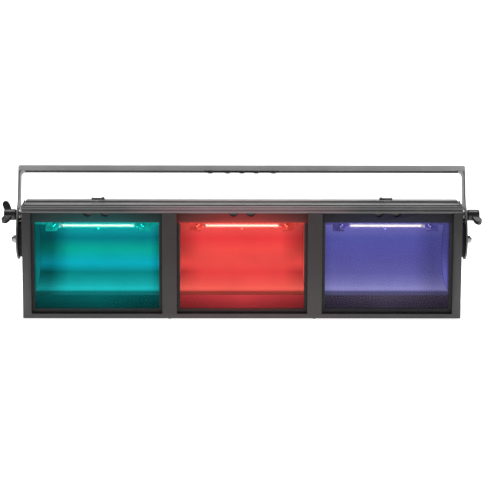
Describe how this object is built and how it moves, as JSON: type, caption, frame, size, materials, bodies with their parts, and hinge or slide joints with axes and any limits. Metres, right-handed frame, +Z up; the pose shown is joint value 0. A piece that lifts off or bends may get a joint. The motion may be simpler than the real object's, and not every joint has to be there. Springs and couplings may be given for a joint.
{
  "type": "cyclorama flood batten",
  "caption": "Long stage flood batten: cells in a row, each with a linear lamp, a curved mirror and a lift-out colour filter, hung from a tilting yoke with wing knobs.",
  "frame": {"origin": "middle of the bounding box at the floor, where the base screws stand", "axes": "+X along the batten, -Y out of the open front, +Z up"},
  "size_m": [1.004, 0.184, 0.3092],
  "materials": {
    "housing_paint": "charcoal powder coat, satin, fine grain",
    "yoke_paint": "dark grey powder coat, satin",
    "black_steel": "matt black heat-resistant paint",
    "friction_fibre": "black pressed fibre, dull",
    "black_plastic": "black moulded nylon, semi-gloss",
    "plated_steel": "zinc plated, satin",
    "reflector_aluminium": "bright stippled reflector sheet",
    "lamp_ceramic": "white steatite ceramic",
    "lamp_quartz": "clear quartz tube with a glowing filament",
    "gel_green": "green colour filter sheet",
    "gel_red": "red colour filter sheet",
    "gel_blue": "blue-violet colour filter sheet"
  },
  "bodies": {
    "housing": {"back_shell": "housing_paint", "base_screw_front_1": "plated_steel", "base_screw_front_2": "plated_steel", "base_screw_rear_1": "plated_steel", "base_screw_rear_2": "plated_steel", "base_tray": "housing_paint", "cable_gland": "black_plastic", "catch_pin_left": "plated_steel", "catch_pin_right": "plated_steel", "cheek_1_left": "reflector_aluminium", "cheek_1_right": "reflector_aluminium", "cheek_2_left": "reflector_aluminium", "cheek_2_right": "reflector_aluminium", "cheek_3_left": "reflector_aluminium", "cheek_3_right": "reflector_aluminium", "clamp_spacer_left": "plated_steel", "clamp_spacer_right": "plated_steel", "clamp_stud_left": "plated_steel", "clamp_stud_right": "plated_steel", "end_plate_left": "housing_paint", "end_plate_right": "housing_paint", "end_screw_left": "plated_steel", "end_screw_right": "plated_steel", "friction_disc_left": "friction_fibre", "friction_disc_right": "friction_fibre", "front_bezel": "housing_paint", "front_top_rail": "housing_paint", "lamp_1": "lamp_quartz", "lamp_2": "lamp_quartz", "lamp_3": "lamp_quartz", "lampholder_1_left": "lamp_ceramic", "lampholder_1_right": "lamp_ceramic", "lampholder_2_left": "lamp_ceramic", "lampholder_2_right": "lamp_ceramic", "lampholder_3_left": "lamp_ceramic", "lampholder_3_right": "lamp_ceramic", "lower_baffle": "black_steel", "partition_1": "housing_paint", "partition_2": "housing_paint", "pivot_bolt_left": "plated_steel", "pivot_bolt_right": "plated_steel", "reflector_1": "reflector_aluminium", "reflector_2": "reflector_aluminium", "reflector_3": "reflector_aluminium", "roof_ledge": "housing_paint", "terminal_cover": "housing_paint", "top_cap": "housing_paint"},
    "yoke": {"yoke": "yoke_paint"},
    "wing_knob_left": {"wing_knob_left": "black_plastic"},
    "wing_knob_right": {"wing_knob_right": "black_plastic"},
    "roof_catch_left": {"roof_catch_left": "black_steel"},
    "roof_catch_right": {"roof_catch_right": "black_steel"},
    "colour_frame_1": {"colour_frame_1": "black_steel", "gel_1": "gel_green"},
    "colour_frame_2": {"colour_frame_2": "black_steel", "gel_2": "gel_red"},
    "colour_frame_3": {"colour_frame_3": "black_steel", "gel_3": "gel_blue"}
  },
  "joints": [
    {"name": "yoke_tilt", "type": "hinge", "parent": "housing", "child": "yoke", "pos_m": [0, -0.01, 0.156], "axis": [1, 0, 0], "range_deg": [-14, 30]},
    {"name": "wing_knob_left_turn", "type": "hinge", "parent": "housing", "child": "wing_knob_left", "pos_m": [-0.485, -0.01, 0.208], "axis": [-1, 0, 0], "range_deg": [0, 300]},
    {"name": "wing_knob_right_turn", "type": "hinge", "parent": "housing", "child": "wing_knob_right", "pos_m": [0.485, -0.01, 0.208], "axis": [1, 0, 0], "range_deg": [0, 300]},
    {"name": "colour_frame_1_lift", "type": "slide", "parent": "housing", "child": "colour_frame_1", "axis": [0, 0, 1], "range_m": [0, 0.2]},
    {"name": "colour_frame_2_lift", "type": "slide", "parent": "housing", "child": "colour_frame_2", "axis": [0, 0, 1], "range_m": [0, 0.2]},
    {"name": "colour_frame_3_lift", "type": "slide", "parent": "housing", "child": "colour_frame_3", "axis": [0, 0, 1], "range_m": [0, 0.2]},
    {"name": "roof_catch_left_turn", "type": "hinge", "parent": "housing", "child": "roof_catch_left", "pos_m": [-0.29, -0.026, 0.2451], "axis": [0, 0, 1], "range_deg": [-90, 90]},
    {"name": "roof_catch_right_turn", "type": "hinge", "parent": "housing", "child": "roof_catch_right", "pos_m": [0.29, -0.026, 0.2451], "axis": [0, 0, 1], "range_deg": [-90, 90]}
  ]
}
